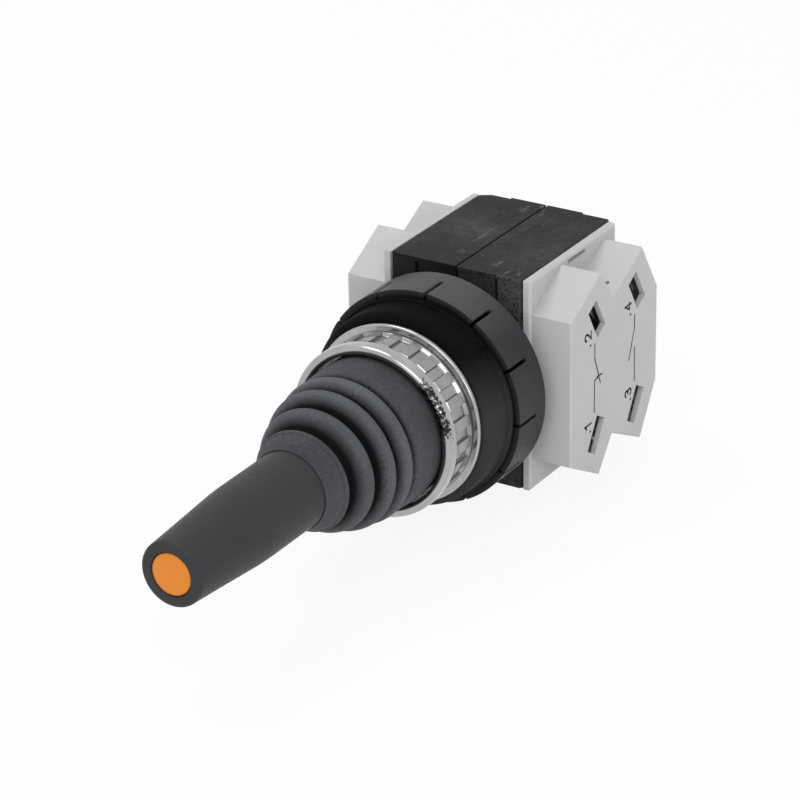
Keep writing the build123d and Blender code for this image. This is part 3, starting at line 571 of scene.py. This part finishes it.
# Bright ring nut with pads, ramps and a round lip
def ring_nut():
    sectors, first_sector = 24, 3.5
    bore, lip_bore = 15.05, 16.8
    flange, flange_round = ring_high.x, 0.4
    flange_rear, flange_front = ring_high.y, ring_high.y - 1.6
    band_rear, band_front = -10.0, -16.97
    pad, recess = 18.5, 17.89
    lip, lip_corner = 19.0, 0.15

    def plain(rows):
        return [(y, radius, radius) for radius, y in rows]

    # Each row is (y, radius on a pad, radius in a recess)
    rows = plain([(bore, -13.0), (bore, flange_rear), (19.35, flange_rear)])
    rows += plain(arc(flange - flange_round, flange_rear - flange_round, flange_round, 90, 0, 4))
    rows += plain(arc(flange - flange_round, flange_front + flange_round, flange_round, 0, -90, 4))
    rows += plain([(18.25, flange_front), (18.02, -9.68), (17.95, -9.8), (17.95, -9.98)])
    # Rear ramps into the recesses
    rows += [
        (-10.06, 18.36, 18.36), (-10.14, 18.46, 18.46), (-10.3, pad, pad), (-10.42, pad, 18.48),
        (-10.5, pad, 18.42), (-10.53, pad, 18.39), (-10.95, pad, 17.97), (-10.98, pad, 17.94),
        (-11.06, pad, 17.9), (-11.3, pad, recess), (-13.0, pad, recess), (-15.0, pad, recess),
    ]
    # Raised front end of the pads, and the ramps up to the lip
    rows += [
        (-15.75, pad, recess), (-15.82, 18.52, recess), (-15.9, 18.6, recess), (-15.98, 18.63, recess),
        (-16.08, 18.6, recess), (-16.42, 18.2, recess), (-16.5, 18.14, 17.9), (-16.8, 18.1, 17.95),
        (-16.88, 18.12, 18.02), (-16.96, pad, pad), (-17.0, 18.8, 18.8),
    ]
    rows += plain(arc(lip - lip_corner, -17.15, lip_corner, 90, 0, 3))
    rows += plain([(lip, -17.8), (lip, -18.6)])
    rows += plain(arc(17.98, -18.88, 1.02, 0, -90, 9) + arc(lip_bore + 1.0, -18.9, 1.0, -90, -180, 9))
    rows += plain([(lip_bore, -17.5), (lip_bore, -13.0)])

    # Steps in degrees across one sector: a recess with a strip of painted shade along each side, then a pad
    recess_side, shade_strip_edge = 3.7, 3.15
    steps = (-recess_side, -shade_strip_edge, -3.1, -1.6, 0, 1.6, 3.1, shade_strip_edge, recess_side,
             3.84, 4.0, 5.7, 7.5, 9.3, 11.0, 11.16)
    angles, sunk, shade_strip = [], [], []
    for k in range(sectors):
        for step in steps:
            angles.append(math.radians(first_sector + 360 / sectors * k + step))
            sunk.append(abs(step) < recess_side + 0.01)
            shade_strip.append(step in (-recess_side, shade_strip_edge))
    count = len(angles)
    verts = []
    for y, high, low in rows:
        for angle, down in zip(angles, sunk):
            radius = low if down else high
            verts.append((radius * math.cos(angle) * MM, y * MM, radius * math.sin(angle) * MM))
    faces, looks = [], []
    bright, satin, dark = 0, 1, 2
    for i, (y, high, low) in enumerate(rows):
        j = (i + 1) % len(rows)
        in_band = band_front < y < band_rear and 17.5 < high < 18.7
        in_recess = low < 17.9 and rows[j][2] < 17.9
        for k in range(count):
            n = (k + 1) % count
            faces.append((i * count + k, i * count + n, j * count + n, j * count + k))
            # Strips of painted shade on the recess floor along each side
            band_look = dark if shade_strip[k] and in_recess else satin
            looks.append(band_look if in_band else bright)
    piece = finish_mesh("ring_nut_shell", verts, faces, chrome, 24)
    piece.data.materials.append(satin_chrome)
    piece.data.materials.append(painted_recess_shade)
    piece.data.polygons.foreach_set("material_index", looks)
    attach(piece, "housing")
    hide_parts("front_ring_nut")


ring_nut()


# Thread crests between the rear ring nut and the body, with gaps at the gimbal pins' ends
def thread():
    first, last, pitch = nut_high.y + 0.15, body_low.y - 0.15, 1.5
    root, crest = 14.9, 15.3
    foot, land = 0.52, 0.12
    steps_per_turn, run_out = 72, 9
    pin_half_gap, pin_rear = 2.3, 13.9
    turns = (last - first) / pitch - 0.35
    count = round(turns * steps_per_turn)
    section = ((-foot, 0.0), (-land, 1.0), (land, 1.0), (foot, 0.0))
    verts, faces, gaps = [], [], []
    for i in range(count + 1):
        angle = 2 * math.pi * i / steps_per_turn
        y = first + foot + (last - first - 2 * foot) * i / count
        run = min(1.0, (i + 1) / run_out, (count - i + 1) / run_out)
        for along, rise in section:
            r = root + (crest - root) * rise * run
            verts.append((r * math.cos(angle) * MM, (y + along) * MM, r * math.sin(angle) * MM))
        gaps.append(abs(r * math.sin(angle)) < pin_half_gap and y < pin_rear)
    for i in range(count):
        if gaps[i] or gaps[i + 1]:
            continue
        a, b = 4 * i, 4 * i + 4
        faces += [(a, a + 1, b + 1, b), (a + 1, a + 2, b + 2, b + 1), (a + 2, a + 3, b + 3, b + 2)]
        faces.append((a + 3, a, b, b + 3))
        if i == 0 or gaps[i - 1]:
            faces.append((a, a + 1, a + 2, a + 3))
        if i == count - 1 or gaps[i + 2]:
            faces.append((b + 3, b + 2, b + 1, b))
    piece = finish_mesh("bush_thread", verts, faces, bush_black, 30)
    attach(piece, "housing")


thread()


# Grip and its end button
def grip():
    nose_round, nose_radius = 0.8, 6.15
    button_hole, shaft_hole, switch_hole = 4.57, 3.02, 6.02
    tip, rear = grip_low.y, grip_high.y
    switch_front, switch_rear = switch_low.y + 0.02, switch_high.y - 0.02
    nose = [
        (nose_radius + nose_round * math.sin(a), tip + nose_round - nose_round * math.cos(a))
        for a in (math.radians(turn) for turn in range(0, 91, 15))
    ]
    barrel = curve_through(
        [
            (6.97, -89.8), (7.08, -88.0), (7.6, -80.0), (8.12, -72.5), (8.32, -69.5), (8.42, -67.0),
            (8.45, -64.0), (8.45, -56.0), (8.45, -44.3),
        ]
    )
    bores = [
        (8.3, rear), (shaft_hole, rear), (shaft_hole, switch_rear), (switch_hole, switch_rear),
        (switch_hole, switch_front), (button_hole, switch_front),
    ]
    front_edge = [(button_hole, tip + 0.25), (4.7, tip)]
    piece = turned("grip_shell", front_edge + nose + barrel + bores, grip_black, sharp=40)
    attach(piece, "lever")
    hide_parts("lever_grip")


def end_button():
    tip, rear = button_low.y, button_high.y
    disc, rim, post = 4.45, button_high.x, 2.0
    rim_front, rim_rear = -89.08, -87.58
    rows = [
        (0, tip), (2.4, tip + 0.01), (3.6, tip + 0.04), (4.15, tip + 0.12), (4.38, tip + 0.26),
        (disc, tip + 0.5), (disc, rim_front), (rim, rim_front), (rim, rim_rear), (post, rim_rear),
        (post, rear), (0, rear),
    ]
    piece = turned("button_disc", rows, orange, turns=96, sharp=40)
    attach(piece, "button")
    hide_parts("tip_button")


grip()
end_button()


# Springs, one coil to a piece
def live_spring(name, node, sides=()):
    """One coil of a spring node, as a piece of its own.

    Each side is (axis, sign), and picks the coil where a node has several."""
    source = frame["nodes"][node].data
    index, verts = {}, []
    for vertex in source.vertices:
        if all(vertex.co[axis] * sign > 0 for axis, sign in sides):
            index[vertex.index] = len(verts)
            verts.append(tuple(vertex.co))
    faces = [
        tuple(index[i] for i in face.vertices)
        for face in source.polygons
        if all(i in index for i in face.vertices)
    ]
    piece = finish_mesh(name, verts, faces, steel, 40)
    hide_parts(node)
    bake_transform(piece)


def springs():
    x_axis, z_axis = 0, 2
    hands = (("left", -1), ("right", 1))
    live_spring("button_coil", "button_spring")
    for height, up in (("lower", -1), ("upper", 1)):
        live_spring(f"z_coil_{height}", "z_centring_springs",
                    ((z_axis, up),))
        for hand, side in hands:
            live_spring(f"x_coil_{height}_{hand}", "x_centring_springs",
                        ((x_axis, side), (z_axis, up)))
    for hand, side in hands:
        for column, station in (("front", 25.0), ("rear", 43.5)):
            live_spring(f"{hand}_{column}_coil", f"{hand}_{column}_spring")


springs()

# Terminal numbers in strokes, in units of the digit's height: across, then up
DIGITS = {
    "1": [(0.05, 0.72), (0.2, 0.8), (0.34, 1.0), (0.34, 0.0)],
    "2": [(0.02, 0.74), (0.07, 0.9), (0.2, 0.99), (0.38, 0.99), (0.52, 0.88), (0.55, 0.7), (0.46, 0.5),
          (0.0, 0.0), (0.58, 0.0)],
    "3": [(0.03, 0.84), (0.14, 0.96), (0.3, 1.0), (0.46, 0.94), (0.52, 0.78), (0.45, 0.6), (0.26, 0.54),
          (0.47, 0.47), (0.57, 0.27), (0.48, 0.08), (0.28, 0.0), (0.1, 0.05), (0.0, 0.2)],
    "4": [(0.42, 0.0), (0.42, 1.0), (0.0, 0.3), (0.6, 0.3)],
}


def strokes(lines, side, width):
    """Thin raised strokes on a cover's outer face. Each line is a list of (y, z) points in millimetres."""
    sunk, proud = 0.01, 0.02
    verts, faces = [], []
    for line in lines:
        for (y0, z0), (y1, z1) in zip(line, line[1:]):
            run = math.hypot(y1 - y0, z1 - z0)
            ey, ez = (y1 - y0) / run * width / 2, (z1 - z0) / run * width / 2
            ny, nz = -ez, ey
            s = len(verts)
            for x in (cover_face - sunk, cover_face + proud):
                for y, z in (
                    (y0 - ey + ny, z0 - ez + nz), (y0 - ey - ny, z0 - ez - nz),
                    (y1 + ey - ny, z1 + ez - nz), (y1 + ey + ny, z1 + ez + nz),
                ):
                    verts.append((side * x * MM, y * MM, z * MM))
            faces += [(s + 4, s + 5, s + 6, s + 7), (s, s + 1, s + 5, s + 4), (s + 1, s + 2, s + 6, s + 5),
                      (s + 2, s + 3, s + 7, s + 6), (s + 3, s, s + 4, s + 7), (s, s + 3, s + 2, s + 1)]
    return verts, faces


def marks(side, name):
    """Contact symbols and terminal numbers. The left block is the right one turned half round the Y axis."""
    thin, bold = 0.38, 0.46
    digit_height, dot_rise, dot_half = 2.65, 0.29, 0.09
    symbols = [
        # Contact that opens
        [(25.7, 8.0), (25.7, 4.7), (28.2, -1.8)],
        [(26.7, 0.1), (28.85, 0.0)],
        [(25.7, -0.3), (27.1, -0.3)],
        [(25.7, -0.3), (25.6, -7.7)],
        # Contact that closes
        [(43.35, 8.0), (43.3, 5.05), (40.95, -1.7)],
        [(43.4, 0.35), (43.5, -7.45)],
    ]
    # Digit, foot of the digit along Y, its start along Z, and the dot beside it
    terminals = (("2", 24.05, 10.0, 8.44), ("1", 24.2, -10.6, -11.51), ("4", 41.7, 10.15, 8.76),
                 ("3", 42.05, -10.05, -11.22))
    numbers = []
    for digit, foot, start, dot in terminals:
        numbers.append([(foot - digit_height * v, start + digit_height * u) for u, v in DIGITS[digit]])
        numbers.append([(foot - dot_rise - dot_half, dot), (foot - dot_rise + dot_half, dot)])
    verts, faces = [], []
    for rows, width in ((symbols, thin), (numbers, bold)):
        more_verts, more_faces = strokes([[(y, side * z) for y, z in row] for row in rows], side, width)
        faces += [tuple(v + len(verts) for v in face) for face in more_faces]
        verts += more_verts
    piece = finish_mesh(name, verts, faces, ink, 30)
    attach(piece, "housing")


marks(1, "right_marks")
marks(-1, "left_marks")


# Floor, world and lamps
def background_rays(tree):
    """1 for the rays that show the background: straight from the camera, and in metal and glass."""
    path = tree.nodes.new("ShaderNodeLightPath")
    seen = path.outputs["Is Camera Ray"]
    for kind in ("Is Glossy Ray", "Is Transmission Ray"):
        either = tree.nodes.new("ShaderNodeMath")
        either.operation = "MAXIMUM"
        tree.links.new(seen, either.inputs[0])
        tree.links.new(path.outputs[kind], either.inputs[1])
        seen = either.outputs[0]
    return seen


def floor():
    # The tilted lever's tip comes down to 28.3 mm under the axis
    half_size, height, glow_share = 8.0, -28.5 * MM, 0.9
    low, high = -half_size, half_size
    mesh = bpy.data.meshes.new("floor")
    square = [(low, low, height), (high, low, height), (high, high, height), (low, high, height)]
    mesh.from_pydata(square, [], [(0, 1, 2, 3)])
    material = bpy.data.materials.new("pale_floor")
    g = Graph(material)
    tone = g.mix(g.noise(3, 2), (0.93, 0.93, 0.93, 1), (0.96, 0.96, 0.96, 1))
    g.join(tone, g.shader.inputs["Base Color"])
    g.shader.inputs["Roughness"].default_value = 0.9
    g.shader.inputs["Specular IOR Level"].default_value = 0.1
    glow = g.add("ShaderNodeEmission")
    blend = g.add("ShaderNodeMixShader")
    g.join(g.product(background_rays(g.tree), glow_share), blend.inputs[0])
    g.join(g.shader.outputs[0], blend.inputs[1])
    g.join(glow.outputs[0], blend.inputs[2])
    g.join(blend.outputs[0], g.out.inputs[0])
    mesh.materials.append(material)
    plane = bpy.data.objects.new("floor", mesh)
    scene.collection.objects.link(plane)


def studio_world():
    """Pale all round where it is seen, and as a light bright at the horizon and dimmer overhead."""
    horizon, overhead = 0.1, 0.5
    horizon_light, overhead_light, background = 0.93, 0.42, 0.97
    world = bpy.data.worlds.new("studio")
    scene.world = world
    world.use_nodes = True
    tree = world.node_tree
    tree.nodes.clear()
    around = tree.nodes.new("ShaderNodeTexCoord")
    split = tree.nodes.new("ShaderNodeSeparateXYZ")
    tree.links.new(around.outputs["Generated"], split.inputs[0])
    rise = tree.nodes.new("ShaderNodeMapRange")
    for index, number in enumerate((horizon, overhead, horizon_light, overhead_light), 1):
        rise.inputs[index].default_value = number
    tree.links.new(split.outputs["Z"], rise.inputs[0])
    seen = tree.nodes.new("ShaderNodeMix")
    tree.links.new(background_rays(tree), seen.inputs["Factor"])
    tree.links.new(rise.outputs[0], seen.inputs[2])
    seen.inputs[3].default_value = background
    sky = tree.nodes.new("ShaderNodeBackground")
    sky.inputs["Color"].default_value = (1, 1, 1, 1)
    tree.links.new(seen.outputs[0], sky.inputs["Strength"])
    out = tree.nodes.new("ShaderNodeOutputWorld")
    tree.links.new(sky.outputs[0], out.inputs[0])


def lamp(name, place, size, watts):
    """Soft lamp that faces the origin, with its place and size in metres."""
    light = bpy.data.lights.new(name, "AREA")
    light.shape = "RECTANGLE"
    light.size, light.size_y = size
    light.energy = watts
    holder = bpy.data.objects.new(name, light)
    holder.location = place
    holder.rotation_euler = (-Vector(place)).to_track_quat("-Z", "Y").to_euler()
    scene.collection.objects.link(holder)


floor()
studio_world()
lamp("key", (-0.42, -0.1, 1.1), (0.5, 0.5), 4.2)
lamp("fill", (1.0, -0.85, 0.42), (0.5, 0.4), 2.4)
lamp("front_top", (0.36, -0.72, 0.865), (0.8, 0.6), 3.6)
